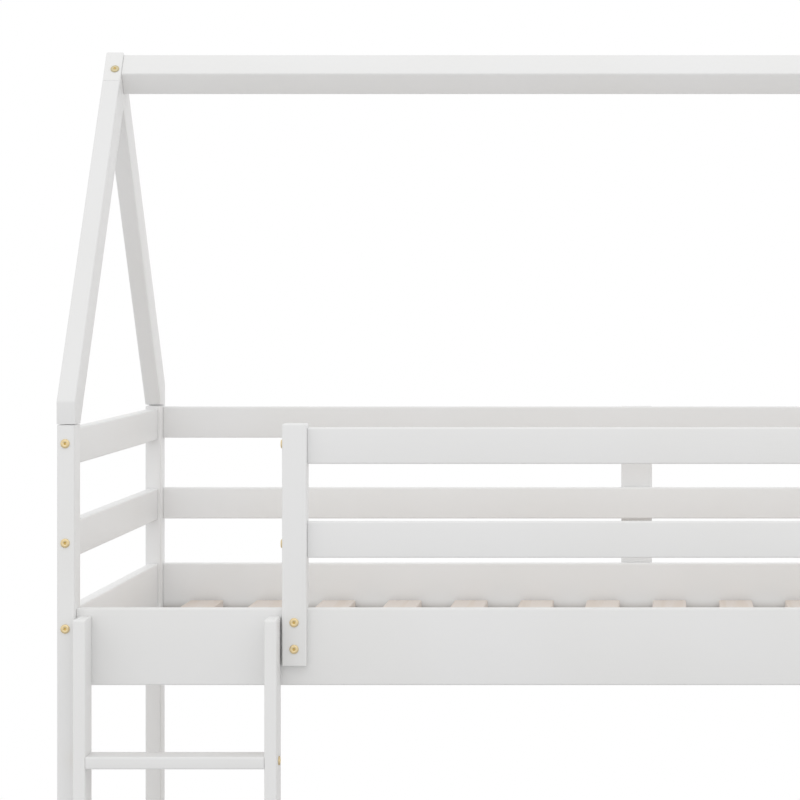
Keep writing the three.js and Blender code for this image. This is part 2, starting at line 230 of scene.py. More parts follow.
def noise(tree, place, scale, detail=3.0, distortion=0.0):
    made = node(tree, "ShaderNodeTexNoise",
                inputs={"Scale": scale, "Detail": detail, "Distortion": distortion})
    tree.links.new(place, made.inputs["Vector"])
    return made.outputs["Fac"]


def ramp(tree, value, low, high, to_low=0.0, to_high=1.0):
    made = node(tree, "ShaderNodeMapRange",
                inputs={"From Min": low, "From Max": high, "To Min": to_low, "To Max": to_high})
    tree.links.new(value, made.inputs["Value"])
    return made.outputs["Result"]


def mixed(tree, amount, first, second):
    """A colour between two colours, each given as a value or as a socket."""
    made = node(tree, "ShaderNodeMix", data_type="RGBA")
    tree.links.new(amount, made.inputs["Factor"])
    for name, colour in (("A", first), ("B", second)):
        if isinstance(colour, tuple):
            made.inputs[name].default_value = colour
        else:
            tree.links.new(colour, made.inputs[name])
    return made.outputs["Result"]


def lifted(colour, lift):
    red, green, blue, alpha = colour
    return lift * red, lift * green, lift * blue, alpha


def white_paint(name, along, turn=(0, 0, 0), lift=1.0, painted_shade_from=None):
    """The paint for boards whose grain runs along an axis, made lighter or darker by lift.

    Below the height painted_shade_from the colour darkens downwards, a painted shade.
    """
    material, tree, shader = new_material(name)
    squeeze = [1.0, 1.0, 1.0]
    squeeze[along] = grain_squeeze
    fine_place = grain_place(tree, turn, tuple(squeeze))
    plain_place = grain_place(tree, turn)
    cloudy = ramp(tree, noise(tree, plain_place, cloud_scale, detail=2.0), *cloud_middle)
    colour = mixed(tree, cloudy, lifted(paint_white, lift), lifted(paint_warm, lift))
    # Painted shade: below that height the colour turns darker and greyer downwards.
    if painted_shade_from is not None:
        height = node(tree, "ShaderNodeSeparateXYZ")
        tree.links.new(plain_place, height.inputs[0])
        depth = ramp(tree, height.outputs["Z"], painted_shade_from, painted_shade_from - painted_shade_reach)
        painted_shade_amount = node(tree, "ShaderNodeMath", operation="MULTIPLY")
        for socket in painted_shade_amount.inputs[:2]:
            tree.links.new(depth, socket)
        colour = mixed(tree, painted_shade_amount.outputs[0], colour, painted_shade_colour)
    tree.links.new(colour, shader.inputs["Base Color"])
    fine_grain = noise(tree, fine_place, grain_scale, detail=4.0, distortion=0.4)
    shine = ramp(tree, fine_grain, *noise_middle, *satin)
    tree.links.new(shine, shader.inputs["Roughness"])
    orange_peel = noise(tree, plain_place, peel_scale, detail=2.0)
    fine_bump = node(tree, "ShaderNodeBump", inputs={"Strength": 0.25, "Distance": 0.0001})
    tree.links.new(orange_peel, fine_bump.inputs["Height"])
    grain_bump = node(tree, "ShaderNodeBump", inputs={"Strength": 0.35, "Distance": 0.0002})
    tree.links.new(fine_grain, grain_bump.inputs["Height"])
    tree.links.new(fine_bump.outputs[0], grain_bump.inputs["Normal"])
    tree.links.new(grain_bump.outputs[0], shader.inputs["Normal"])
    shader.inputs["Specular IOR Level"].default_value = 0.4
    return material


ALONG_X, ALONG_Y, ALONG_Z = range(3)
paints = {
    ALONG_X: white_paint("painted_pine_lengthways", ALONG_X),
    ALONG_Y: white_paint("painted_pine_crossways", ALONG_Y),
    ALONG_Z: white_paint("painted_pine_upright", ALONG_Z),
}
# Copies of the paint with painted light for the inner boards; the lengthways one also gets painted
# shade low down behind the slats.
painted_light_paints = {
    ALONG_X: white_paint("painted_pine_light_lengthways", ALONG_X, lift=painted_light_lift,
                         painted_shade_from=painted_shade_start),
    ALONG_Y: white_paint("painted_pine_light_crossways", ALONG_Y, lift=painted_light_lift),
}
painted_light_boards = ("upper_back_side_rail", "back_rail_middle", "upper_end_board_left",
                  "upper_end_board_right")
print("paints:", [paint.name for paint in (*paints.values(), *painted_light_paints.values())])

# %% [markdown]
# ## A board
# A planed board is a flat shape carried along its length, with its long edges rounded over by a
# few millimetres and its sawn ends only broken with sandpaper. A cube with a bevel would round all
# its edges alike. So each board is drawn as its outline and carried along one axis, and each edge
# says how much of the widest rounding it takes. The Bevel modifier reads that from the edges.
#
# On the real bed every rail is a little lighter along its top and gets darker downwards, because
# sanding takes a little more off towards the edges. Smooth shading does the same: it bends the
# light a few degrees between the roundings, so nothing holds the flat faces' shading flat.

# %% Make the board maker
edge_radius = 0.003
crisp_radius = 0.0009
widest_radius = 0.0054


def carve(name, axis, outline, start, end, sawn_sides=(), sawn_ends=True, blunt_corner=None,
          radius=edge_radius, crisp=crisp_radius):
    """A solid board. The outline is anticlockwise, seen with the axis pointing at us.

    sawn_sides are the numbers of the outline's sides that are saw cuts, and blunt_corner is the
    number of a corner with the widest rounding.
    """
    mesh = bpy.data.meshes.new(name)
    shape = bmesh.new()
    weights = shape.edges.layers.float.new("bevel_weight_edge")
    rings = []
    for level in (start, end):
        ring = []
        for point in outline:
            place = [0.0, 0.0, 0.0]
            place[axis] = level
            place[(axis + 1) % 3], place[(axis + 2) % 3] = point
            ring.append(shape.verts.new(place))
        rings.append(ring)
    low, high = rings
    ends = [shape.faces.new(list(reversed(low))), shape.faces.new(high)]
    sides = []
    for number in range(len(outline)):
        after = (number + 1) % len(outline)
        sides.append(shape.faces.new((low[number], low[after], high[after], high[number])))
    for edge in shape.edges:
        edge[weights] = radius / widest_radius
    if blunt_corner is not None:
        shape.edges.get((low[blunt_corner], high[blunt_corner]))[weights] = 1.0
    sawn = [sides[number] for number in sawn_sides] + (ends if sawn_ends else [])
    for face in sawn:
        for edge in face.edges:
            edge[weights] = crisp / widest_radius
    shape.to_mesh(mesh)
    shape.free()
    board = bpy.data.objects.new(name, mesh)
    bpy.context.collection.objects.link(board)
    rounding = board.modifiers.new("rounded_edges", "BEVEL")
    rounding.width = widest_radius
    rounding.segments = 4
    rounding.limit_method = "WEIGHT"
    return settled(board)


def settled(piece):
    """Turns what the modifiers make into the piece's own mesh, with smooth shading all over."""
    graph = bpy.context.evaluated_depsgraph_get()
    mesh = bpy.data.meshes.new_from_object(piece.evaluated_get(graph))
    piece.modifiers.clear()
    piece.data = mesh
    mesh.name = piece.name
    mesh.shade_smooth()
    return piece


def dress(piece, paint, slot, *nodes):
    """Gives a finished piece its material and lets it stand for its solids."""
    piece.data.materials.clear()
    piece.data.materials.append(paint)
    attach(piece, "root")
    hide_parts(*nodes)


def squared_board(name, axis, sawn_ends=True, shorter=0.0):
    """A board with a rectangular section, as large as its solid or a little shorter."""
    low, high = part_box(name)
    a, b = (axis + 1) % 3, (axis + 2) % 3
    outline = [(low[a], low[b]), (high[a], low[b]), (high[a], high[b]), (low[a], high[b])]
    board = carve("board_" + name, axis, outline, low[axis], high[axis] - shorter,
                  sawn_ends=sawn_ends)
    # The inner boards listed above take the paint with painted light in it.
    paint = painted_light_paints[axis] if name in painted_light_boards else paints[axis]
    dress(board, paint, "painted_pine", name)
    return board


# %% [markdown]
# ## Posts, rails and side boards
# These are all plain boards, and they differ only in size and direction. The posts stand, the end
# rails run front to back between them, and the long rails join the two ends. Each one is made
# from the box of its solid, so the list of names is all that is needed. The end rails are rounded
# over at their ends too, which leaves a soft groove where they meet the posts. The posts end 2 to
# 4 mm lower than their solids, because the dark joints under the rafters lie there in the photo.

# %% Cut the square boards
ends = ("left", "right")
post_drops = {"front": 0.002, "back": 0.0038}
upright = [f"post_{row}_{side}" for row in ("front", "back") for side in ends]
upright += ["back_brace"]
crossways = [f"{rail}_{side}" for side in ends
             for rail in ("upper_end_rail_top", "upper_end_rail_middle", "upper_end_board",
                          "lower_end_board")]
lengthways = [f"{bunk}_{row}_side_rail" for bunk in ("upper", "lower") for row in ("front", "back")]
lengthways += ["back_rail_top", "back_rail_middle", "guard_rail_top", "guard_rail_middle"]
lengthways += [f"{bunk}_ledger_{row}" for bunk in ("upper", "lower") for row in ("front", "back")]
rungs = [f"ladder_rung_{number}" for number in range(1, 5)]
lengthways += rungs
for axis, names in ((ALONG_Z, upright), (ALONG_Y, crossways), (ALONG_X, lengthways)):
    for name in names:
        shorter = post_drops[name.split("_")[1]] if name.startswith("post_") else 0.0
        squared_board(name, axis, sawn_ends=axis != ALONG_Y, shorter=shorter)
    print(len(names), "boards along", "XYZ"[axis])

# %% [markdown]
# ## The ladder's stringers
# A stringer's top end is where hands hold on, so all its edges there are rounded over, and the
# front one most of all. Its side view is carried through its width, because then that edge is a
# corner of the outline. The foot is a plain saw cut. In the photo the tops stand about 2 mm higher
# than the solids, too little for another size in the model, so the outline ends that much higher.

# %% Cut the stringers
stringer_rise = 0.0019
for side in ends:
    name = f"ladder_stringer_{side}"
    low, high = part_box(name)
    top_z = high.z + stringer_rise
    outline = [(low.y, low.z), (high.y, low.z), (high.y, top_z), (low.y, top_z)]
    stringer = carve("board_" + name, ALONG_X, outline, low.x, high.x,
                     sawn_sides=(0,), sawn_ends=False, blunt_corner=3)
    dress(stringer, paints[ALONG_Z], "painted_pine", name)
print("each stringer is", round(top_z - low.z, 3), "m tall")

# %% [markdown]
# ## The guard post
# The post beside the ladder holds the ends of the guard rails. Its foot is cut back to half its
# depth, so that it laps over the face of the side rail and stands on its top edge. Seen from the
# side it is an L upside down, and that outline is carried through its width.

# %% Cut the guard post
low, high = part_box("guard_post")
rail_low, rail_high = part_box("upper_front_side_rail")
lap_gap = 0.0003
lap_y = rail_low.y - lap_gap
shoulder_z = rail_high.z + lap_gap
outline = [(low.y, low.z), (lap_y, low.z), (lap_y, shoulder_z), (high.y, shoulder_z),
           (high.y, high.z), (low.y, high.z)]
guard_post = carve("board_guard_post", ALONG_X, outline, low.x, high.x,
                   sawn_sides=(0, 1, 2), sawn_ends=False)
dress(guard_post, paints[ALONG_Z], "painted_pine", "guard_post")
print("the lap is", round((shoulder_z - low.z) * 1000), "mm long")

# %% [markdown]
# ## The roof frame
# At each end two rafters stand on the posts. Their feet are cut level and their heels plumb, in
# line with the post, and at the top both are cut square to meet a block shaped like a diamond. The
# ridge beam between the two blocks is a diamond too, its sides in line with the slopes.
#
# The corners come from the same rule as in the model: the slopes start at the heels and meet at a
# sharp peak just above the eased tip of the block. The pitch and the peak depend on each other, so
# both are worked out again a few times until they agree.

# %% Work out the roof's lines
middle_y = (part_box("post_front_left")[0].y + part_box("post_back_left")[1].y) / 2
front_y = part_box("post_front_left")[0].y
post_top_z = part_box("post_front_left")[1].z
heel_rise = 0.041
heel_z = post_top_z + heel_rise
rafter_depth = 0.066
block_overhang = 0.0048
glue_gap = 0.0007
tip_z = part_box("ridge_block_left")[1].z
pitch = atan2(tip_z - heel_z, middle_y - front_y)
for _ in range(6):
    peak_z = tip_z + edge_radius * sin(pitch)
    pitch = atan2(peak_z - heel_z, middle_y - front_y)
rafter_end = rafter_depth / sin(2 * pitch)
block_side = rafter_end + block_overhang
joint = glue_gap / sin(2 * pitch)
print("the roof's pitch is", round(degrees(pitch), 2), "degrees")
print("its sharp peak lies at", round(peak_z, 4))


def diamond(side, centre_z):
    across, up = side * cos(pitch), side * sin(pitch)
    return [(middle_y, centre_z - up), (middle_y + across, centre_z),
            (middle_y, centre_z + up), (middle_y - across, centre_z)]


# %% [markdown]
# The front rafter's outline goes round from its foot. The back one is its mirror image, so the
# points are mirrored and taken in the other order, which keeps the faces pointing outwards. A dark
# joint stays open under each foot. At the back it is a wedge, closed at the heel and 4 mm wide
# towards the front, as the photo shows it: a rafter that leans on its heel.

# %% Cut the rafters
foot_gaps = {"front": (0.0014, 0.0014), "back": (0.0005, 0.0039)}
slope = Vector((cos(pitch), sin(pitch)))
down_back = Vector((cos(pitch), -sin(pitch)))
outer_end = Vector((middle_y, peak_z)) - (block_side + joint) * slope
inner_end = outer_end + rafter_end * down_back


def rafter_outline(row):
    """A rafter that rises from the front, with the foot that the rafters of this row have."""
    heel_gap, inner_gap = foot_gaps[row]
    joint_z = post_top_z - post_drops[row]
    inner_foot_z = joint_z + inner_gap
    inner_foot_y = inner_end.x - (inner_end.y - inner_foot_z) / tan(pitch)
    return [(front_y, joint_z + heel_gap), (inner_foot_y, inner_foot_z), tuple(inner_end),
            tuple(outer_end), (front_y, heel_z)]


front_outline = rafter_outline("front")
back_outline = [(2 * middle_y - y, z) for y, z in reversed(rafter_outline("back"))]
quarter = pi / 2
rafter_paints = {
    # The front rafters' paint is made darker: painted shade.
    "front": white_paint("painted_pine_front_slope", ALONG_Z, (quarter - pitch, 0, 0),
                         lift=painted_shade_lift),
    "back": white_paint("painted_pine_back_slope", ALONG_Z, (pitch - quarter, 0, 0)),
}
for side in ends:
    for row, outline, sawn in (("front", front_outline, (0, 2)), ("back", back_outline, (1, 3))):
        name = f"rafter_{row}_{side}"
        low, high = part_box(name)
        rafter = carve("board_" + name, ALONG_X, outline, low.x, high.x,
                       sawn_sides=sawn, sawn_ends=False)
        dress(rafter, rafter_paints[row], "painted_pine", name)
print("the rafters' feet are", round((front_outline[1][0] - front_y) * 1000, 1), "mm deep")

# %% [markdown]
# The block's two lower sides are glued to the rafters' ends, so they stay crisp, and only its two
# upper sides are rounded over, most of all at the tip. The block is a little larger than the
# rafters' ends, so its lowest corner stands out below them. The beam's long edges are rounded and
# its ends are not.

# %% Cut the ridge blocks and the beam
for side in ends:
    name = f"ridge_block_{side}"
    low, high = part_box(name)
    outline = diamond(block_side, peak_z - block_side * sin(pitch))
    block = carve("board_" + name, ALONG_X, outline, low.x, high.x, sawn_sides=(0, 3),
                  sawn_ends=False, blunt_corner=2)
    dress(block, rafter_paints["back"], "painted_pine", name)
low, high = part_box("ridge_beam")
beam_thickness = 0.0468
beam_drop = 0.0064
beam_side = beam_thickness / sin(2 * pitch)
beam_centre_z = peak_z - beam_drop - beam_side * sin(pitch)
beam = carve("board_ridge_beam", ALONG_X, diamond(beam_side, beam_centre_z), low.x, high.x)
dress(beam, paints[ALONG_X], "painted_pine", "ridge_beam")
print("the beam is", round(high.x - low.x, 4), "m long")

# %% [markdown]
# ## Bare pine for the slats
# The slats are planed pine with nothing on it: pale, slightly pink, with darker lines where the
# rings of the tree were cut. The lines are a wave pattern across the board, bent by noise that
# changes slowly along it. Each slat is a piece of another tree, so the maker of the slats gives
# each one its own tone, and the material reads it and also moves the rings by it.

# %% Mix the bare pine
early_wood = (0.766, 0.702, 0.647, 1)
late_wood = (0.683, 0.590, 0.504, 1)
pinkish = (0.750, 0.684, 0.634, 1)
pine_squeeze = 0.05
ring_shift = (3.0, 1.0, 5.0)
ring_band, fibre_band = (0.35, 1.0), (0.45, 0.75)
ring_strength, fibre_strength = 0.42, 0.10
fibre_scale = 700.0
pine_roughness = (0.62, 0.74)


def bare_pine():
    material, tree, shader = new_material("planed_pine")
    place = grain_place(tree, stretch=(1.0, pine_squeeze, 1.0))
    tone = node(tree, "ShaderNodeAttribute", attribute_type="GEOMETRY", attribute_name="slat_tone")
    shifted = node(tree, "ShaderNodeVectorMath", operation="MULTIPLY_ADD")
    tree.links.new(tone.outputs["Fac"], shifted.inputs[0])
    shifted.inputs[1].default_value = ring_shift
    tree.links.new(place, shifted.inputs[2])
    rings = node(tree, "ShaderNodeTexWave", wave_type="RINGS", rings_direction="Y",
                 inputs={"Scale": 19.0, "Distortion": 3.5, "Detail": 2.0, "Detail Scale": 2.2})
    tree.links.new(shifted.outputs["Vector"], rings.inputs["Vector"])
    lines = ramp(tree, rings.outputs["Fac"], *ring_band, to_high=ring_strength)
    ground = mixed(tree, tone.outputs["Fac"], early_wood, pinkish)
    colour = mixed(tree, lines, ground, late_wood)
    fibres = noise(tree, shifted.outputs["Vector"], fibre_scale)
    dark_fibres = ramp(tree, fibres, *fibre_band, to_high=fibre_strength)
    colour = mixed(tree, dark_fibres, colour, late_wood)
    tree.links.new(colour, shader.inputs["Base Color"])
    roughness = ramp(tree, fibres, *noise_middle, *pine_roughness)
    tree.links.new(roughness, shader.inputs["Roughness"])
    bump = node(tree, "ShaderNodeBump", inputs={"Strength": 0.4, "Distance": 0.0003})
    tree.links.new(fibres, bump.inputs["Height"])
    tree.links.new(bump.outputs[0], shader.inputs["Normal"])
    shader.inputs["Specular IOR Level"].default_value = 0.3
    return material


planed_pine = bare_pine()
print("the slats are", planed_pine.name)

# %% [markdown]
# ## The slats
# Fourteen slats lie on the ledgers at an even spacing. One slat is cut as a board, and a Geometry
# Nodes tree repeats it: a line of points, the board on each point, and a random tone stored on each
# copy. Changing the count or the spacing is then one number. The tree ends by making the copies
# real and giving them their material.

# %% Build the tree that repeats a board
def new_tree(name, inputs):
    """A Geometry Nodes tree with named inputs: the tree, its input node and its sockets' keys."""
    tree = bpy.data.node_groups.new(name, "GeometryNodeTree")
    tree.interface.new_socket("Geometry", in_out="INPUT", socket_type="NodeSocketGeometry")
    keys = {}
    for label, kind in inputs:
        keys[label] = tree.interface.new_socket(label, in_out="INPUT", socket_type=kind).identifier
    tree.interface.new_socket("Geometry", in_out="OUTPUT", socket_type="NodeSocketGeometry")
    return tree, tree.nodes.new("NodeGroupInput"), keys


def end_tree(tree, given, instances):
    """Makes the copies real and gives them their finish."""
    real = node(tree, "GeometryNodeRealizeInstances")
    finish = node(tree, "GeometryNodeSetMaterial")
    out = node(tree, "NodeGroupOutput")
    tree.links.new(instances, real.inputs["Geometry"])
    tree.links.new(real.outputs["Geometry"], finish.inputs["Geometry"])
    tree.links.new(given.outputs["Finish"], finish.inputs["Material"])
    tree.links.new(finish.outputs["Geometry"], out.inputs["Geometry"])


slat_tree, given, slat_keys = new_tree("slat_row", [
    ("Slat", "NodeSocketObject"), ("Count", "NodeSocketInt"), ("First Place", "NodeSocketVector"),
    ("Step", "NodeSocketVector"), ("Seed", "NodeSocketInt"), ("Finish", "NodeSocketMaterial")])
places = node(slat_tree, "GeometryNodeMeshLine", mode="OFFSET")
slat_shape = node(slat_tree, "GeometryNodeObjectInfo")
copies = node(slat_tree, "GeometryNodeInstanceOnPoints")
tones = node(slat_tree, "FunctionNodeRandomValue", data_type="FLOAT")
stored = node(slat_tree, "GeometryNodeStoreNamedAttribute", domain="INSTANCE", data_type="FLOAT",
              inputs={"Name": "slat_tone"})
slat_tree.links.new(given.outputs["Slat"], slat_shape.inputs["Object"])
slat_tree.links.new(given.outputs["Count"], places.inputs["Count"])
slat_tree.links.new(given.outputs["First Place"], places.inputs["Start Location"])
slat_tree.links.new(given.outputs["Step"], places.inputs["Offset"])
slat_tree.links.new(places.outputs["Mesh"], copies.inputs["Points"])
slat_tree.links.new(slat_shape.outputs["Geometry"], copies.inputs["Instance"])
slat_tree.links.new(given.outputs["Seed"], tones.inputs["Seed"])
slat_tree.links.new(copies.outputs["Instances"], stored.inputs["Geometry"])
slat_tree.links.new(tones.outputs[1], stored.inputs["Value"])
end_tree(slat_tree, given, stored.outputs["Geometry"])
print("the slat tree has", len(slat_tree.nodes), "nodes")

# %% [markdown]
# A tree needs an object to sit on, so each row starts as an object with an empty mesh. Its inputs
# are set before it is first evaluated, and then the result is taken as a plain mesh. The slats end
# a few millimetres short of the rails, which leaves a thin dark gap at their ends.

# %% Lay both rows of slats
def grown(name, tree, keys, values, mesh=None):
    """The plain mesh that a tree makes with these values, as a new piece."""
    piece = bpy.data.objects.new(name, mesh or bpy.data.meshes.new(name))
    bpy.context.collection.objects.link(piece)
    growth = piece.modifiers.new(tree.name, "NODES")
    growth.node_group = tree
    for label, value in values.items():
        growth[keys[label]] = value
    graph = bpy.context.evaluated_depsgraph_get()
    made = bpy.data.meshes.new_from_object(piece.evaluated_get(graph))
    piece.modifiers.clear()
    piece.data = made
    made.name = name
    return piece


slat_count = 14
end_gap = 0.008
low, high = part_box("upper_slat_01")
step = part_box("upper_slat_02")[0].x - low.x
outline = [(low.z, low.x), (high.z, low.x), (high.z, high.x), (low.z, high.x)]
slat_blank = carve("slat_blank", ALONG_Y, outline, low.y + end_gap, high.y - end_gap)
mat_low, mat_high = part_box("lower_slat_mat")
tape_height = 0.001
lower_drop = mat_high.z - tape_height - high.z
rows = {
    "upper_slats": (0.0, 3, [f"upper_slat_{number:02d}" for number in range(1, slat_count + 1)]),
    "lower_slats": (lower_drop, 8, ["lower_slat_mat"]),
}
for name, (drop, seed, nodes) in rows.items():
    row = grown(name, slat_tree, slat_keys, {
        "Slat": slat_blank, "Count": slat_count, "First Place": (0, 0, drop),
        "Step": (step, 0, 0), "Seed": seed, "Finish": planed_pine})
    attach(row, "root")
    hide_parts(*nodes)
    print(name, "has", len(row.data.polygons), "faces, a slat every", round(step * 1000, 1), "mm")
bpy.data.objects.remove(slat_blank)

# %% [markdown]
# ## The tapes of the lower slats
# The lower slats come as a roll, held at the same spacing by two woven tapes glued along their
# tops. Each tape is a thin strip, a millimetre thick, and its weave is two crossed waves in the
# height of its surface.

# %% Glue on the tapes
tape_shade = (0.70, 0.69, 0.66, 1)
tape_light = (0.82, 0.81, 0.78, 1)
thread_scale = 150.0


def woven_tape():
    material, tree, shader = new_material("woven_tape")
    place = grain_place(tree)
    heights = []
    for direction in ("X", "Y"):
        threads = node(tree, "ShaderNodeTexWave", bands_direction=direction,
                       inputs={"Scale": thread_scale})
        tree.links.new(place, threads.inputs["Vector"])
        heights.append(threads.outputs["Fac"])
    weave = node(tree, "ShaderNodeMath", operation="MULTIPLY")
    tree.links.new(heights[0], weave.inputs[0])
    tree.links.new(heights[1], weave.inputs[1])
    colour = mixed(tree, weave.outputs[0], tape_shade, tape_light)
    tree.links.new(colour, shader.inputs["Base Color"])
    bump = node(tree, "ShaderNodeBump", inputs={"Strength": 0.7, "Distance": 0.0004})
    tree.links.new(weave.outputs[0], bump.inputs["Height"])
    tree.links.new(bump.outputs[0], shader.inputs["Normal"])
    shader.inputs["Roughness"].default_value = 0.85
    return material


tape_finish = woven_tape()
tape_width = 0.025
tape_inset = 0.230
tape_edge = 0.0004
slat_end_inset = 0.0023
tape_places = {"tape_front": mat_low.y + tape_inset, "tape_back": mat_high.y - tape_inset}
for name, tape_y in tape_places.items():
    bottom, top = mat_high.z - tape_height, mat_high.z
    near, far = tape_y - tape_width / 2, tape_y + tape_width / 2
    outline = [(near, bottom), (far, bottom), (far, top), (near, top)]
    tape = carve(name, ALONG_X, outline, mat_low.x + slat_end_inset, mat_high.x - slat_end_inset,
                 radius=tape_edge, crisp=tape_edge)
    dress(tape, tape_finish, "natural_pine", "lower_slat_mat")
    print(name, "lies at y =", round(tape_y, 3))

# %% [markdown]
# ## A bolt
# The bed is held by connector bolts. Each has a wide flat head with a rounded rim and a
# hexagonal socket for the key. A cylinder with a hexagon cut out by a Boolean would give the same
# shape, with untidy faces round the socket.
#
# The outside of the head is round and the socket has six sides. Both are rings of the same number
# of points, so each ring is joined to the next point by point.

# %% Make one bolt
bolt_points = 36
sharp_angle = radians(50)
head_radius = 0.00825
socket_reach = 0.0023
head_rings = [(0.0035, -0.006), (0.0035, 0.0), (head_radius, 0.0), (head_radius, 0.0011),
              (0.0080, 0.0017), (0.0074, 0.0023), (0.0064, 0.0028), (0.0056, 0.0030),
              (0.0050, 0.0030), (0.0040, 0.0029)]
socket_rings = [(1.15, 0.0027), (1.0, 0.0024), (1.0, 0.0008), (0.55, 0.0005), (0.12, 0.0003)]


def hexagon_reach(angle):
    """How far a hexagon's side lies from its middle in a direction, for a corner at 1."""
    within = angle % (pi / 3) - pi / 6
    return cos(pi / 6) / cos(within)


def bolt_mesh():
    mesh = bpy.data.meshes.new("connector_bolt")
    shape = bmesh.new()
    angles = [2 * pi * number / bolt_points for number in range(bolt_points)]
    rings = [[(radius * cos(a), radius * sin(a), z) for a in angles] for radius, z in head_rings]
    for share, z in socket_rings:
        reaches = [socket_reach * share * hexagon_reach(a) for a in angles]
        rings.append([(reach * cos(a), reach * sin(a), z) for reach, a in zip(reaches, angles)])
    loops = [[shape.verts.new(place) for place in ring] for ring in rings]
    for inner, outer in zip(loops, loops[1:]):
        for number in range(bolt_points):
            after = (number + 1) % bolt_points
            shape.faces.new((inner[number], inner[after], outer[after], outer[number]))
    shape.faces.new(list(reversed(loops[0])))
    shape.faces.new(loops[-1])
    for face in shape.faces:
        face.smooth = True
    for edge in shape.edges:
        if edge.is_manifold and edge.calc_face_angle() > sharp_angle:
            edge.smooth = False
    shape.to_mesh(mesh)
    shape.free()
    return mesh


bolt_blank = bpy.data.objects.new("bolt_blank", bolt_mesh())
bpy.context.collection.objects.link(bolt_blank)
print("one bolt has", len(bolt_blank.data.polygons), "faces")

# %% [markdown]
# ## Brass-coloured plating
# The head is turned steel with a brass-coloured plating, a little stained in some places and
# browner in the socket. The stains are noise. A value stored on the points of the socket tells the
# material where it is, so that one material does for the whole bolt.
#
# The bolts in the ridge look up at the light and still show darker than all others, so the plating
# gets darker between two heights below the ridge. This darker plating is a painted shade.

# %% Plate the bolts
brass_light = (0.82, 0.67, 0.40, 1)
brass_dark = (0.76, 0.60, 0.33, 1)
# A darker plating colour, painted shade for the bolts in the ridge, and the heights over which it
# comes in.
painted_shade_brass = (0.60, 0.52, 0.325, 1)
brass_socket = (0.74, 0.54, 0.18, 1)
painted_ridge_shade_from, painted_ridge_shade_to = 2.0, 2.1
stain_scale, scratch_scale = 260.0, 3000.0
stain_middle = (0.35, 0.7)
brass_roughness = (0.30, 0.42)
socket_mouth_radius, socket_mouth_height = 0.0024, 0.0025


def brass_plating():
    material, tree, shader = new_material("brass_plating")
    place = grain_place(tree)
    stains = ramp(tree, noise(tree, place, stain_scale), *stain_middle)
    colour = mixed(tree, stains, brass_light, brass_dark)
    height = node(tree, "ShaderNodeSeparateXYZ")
    tree.links.new(place, height.inputs[0])
    # Painted shade: the plating turns darker between two heights below the ridge.
    painted_ridge_shade = ramp(tree, height.outputs["Z"], painted_ridge_shade_from, painted_ridge_shade_to)
    colour = mixed(tree, painted_ridge_shade, colour, painted_shade_brass)
    hollow = node(tree, "ShaderNodeAttribute", attribute_type="GEOMETRY",
                  attribute_name="in_socket")
    colour = mixed(tree, hollow.outputs["Fac"], colour, brass_socket)
    tree.links.new(colour, shader.inputs["Base Color"])
    scratches = noise(tree, place, scratch_scale, detail=2.0)
    roughness = ramp(tree, scratches, *noise_middle, *brass_roughness)
    tree.links.new(roughness, shader.inputs["Roughness"])
    bump = node(tree, "ShaderNodeBump", inputs={"Strength": 0.15, "Distance": 0.00005})
    tree.links.new(scratches, bump.inputs["Height"])
    tree.links.new(bump.outputs[0], shader.inputs["Normal"])
    shader.inputs["Metallic"].default_value = 0.9
    return material


plating = brass_plating()
dark = bolt_blank.data.attributes.new("in_socket", "FLOAT", "POINT")
for vertex, entry in zip(bolt_blank.data.vertices, dark.data):
    inside = vertex.co.xy.length < socket_mouth_radius and vertex.co.z < socket_mouth_height
    entry.value = 1.0 if inside else 0.0
print("the plating is", plating.name)

# %% [markdown]
# ## Where the bolts go
# Every place is a point on the face of a board and the direction that its head looks in. The
# posts are bolted from the front and the back into the ends of the end rails, the guard post into
# the side rail and the guard rails, the stringers into the rungs, and each ridge block into both
# rafters. The long rails are bolted through the outer faces of the posts, at heights between the
# other bolts, so that no two cross inside a post. The ladder is bolted to the side rails from the
# inside of the bed.

# %% List the bolts
bolts = []


def bolt_at(x, y, z, towards):
    bolts.append((Vector((x, y, z)), Vector(towards).normalized()))


def middle(name, axis):
    low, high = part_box(name)
    return (low[axis] + high[axis]) / 2


FRONTWARDS, BACKWARDS, LEFTWARDS, RIGHTWARDS = (0, -1, 0), (0, 1, 0), (-1, 0, 0), (1, 0, 0)
rail_bolt_drops = {"upper_end_rail_top": 0.0259, "upper_end_rail_middle": 0.0375,
                   "upper_end_board": 0.0341, "lower_end_board": 0.0341}
for side in ends:
    for row, towards in (("front", FRONTWARDS), ("back", BACKWARDS)):
        post_low, post_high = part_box(f"post_{row}_{side}")
        face_y = post_low.y if row == "front" else post_high.y
        for rail, drop in rail_bolt_drops.items():
            name = f"{rail}_{side}"
            bolt_at(middle(name, 0), face_y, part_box(name)[1].z - drop, towards)
print(len(bolts), "bolts into the end rails")

# %% [markdown]
# The long rails end between the posts. The side rails are high enough for two bolts at each end,
# and the guard rails and back rails take one.

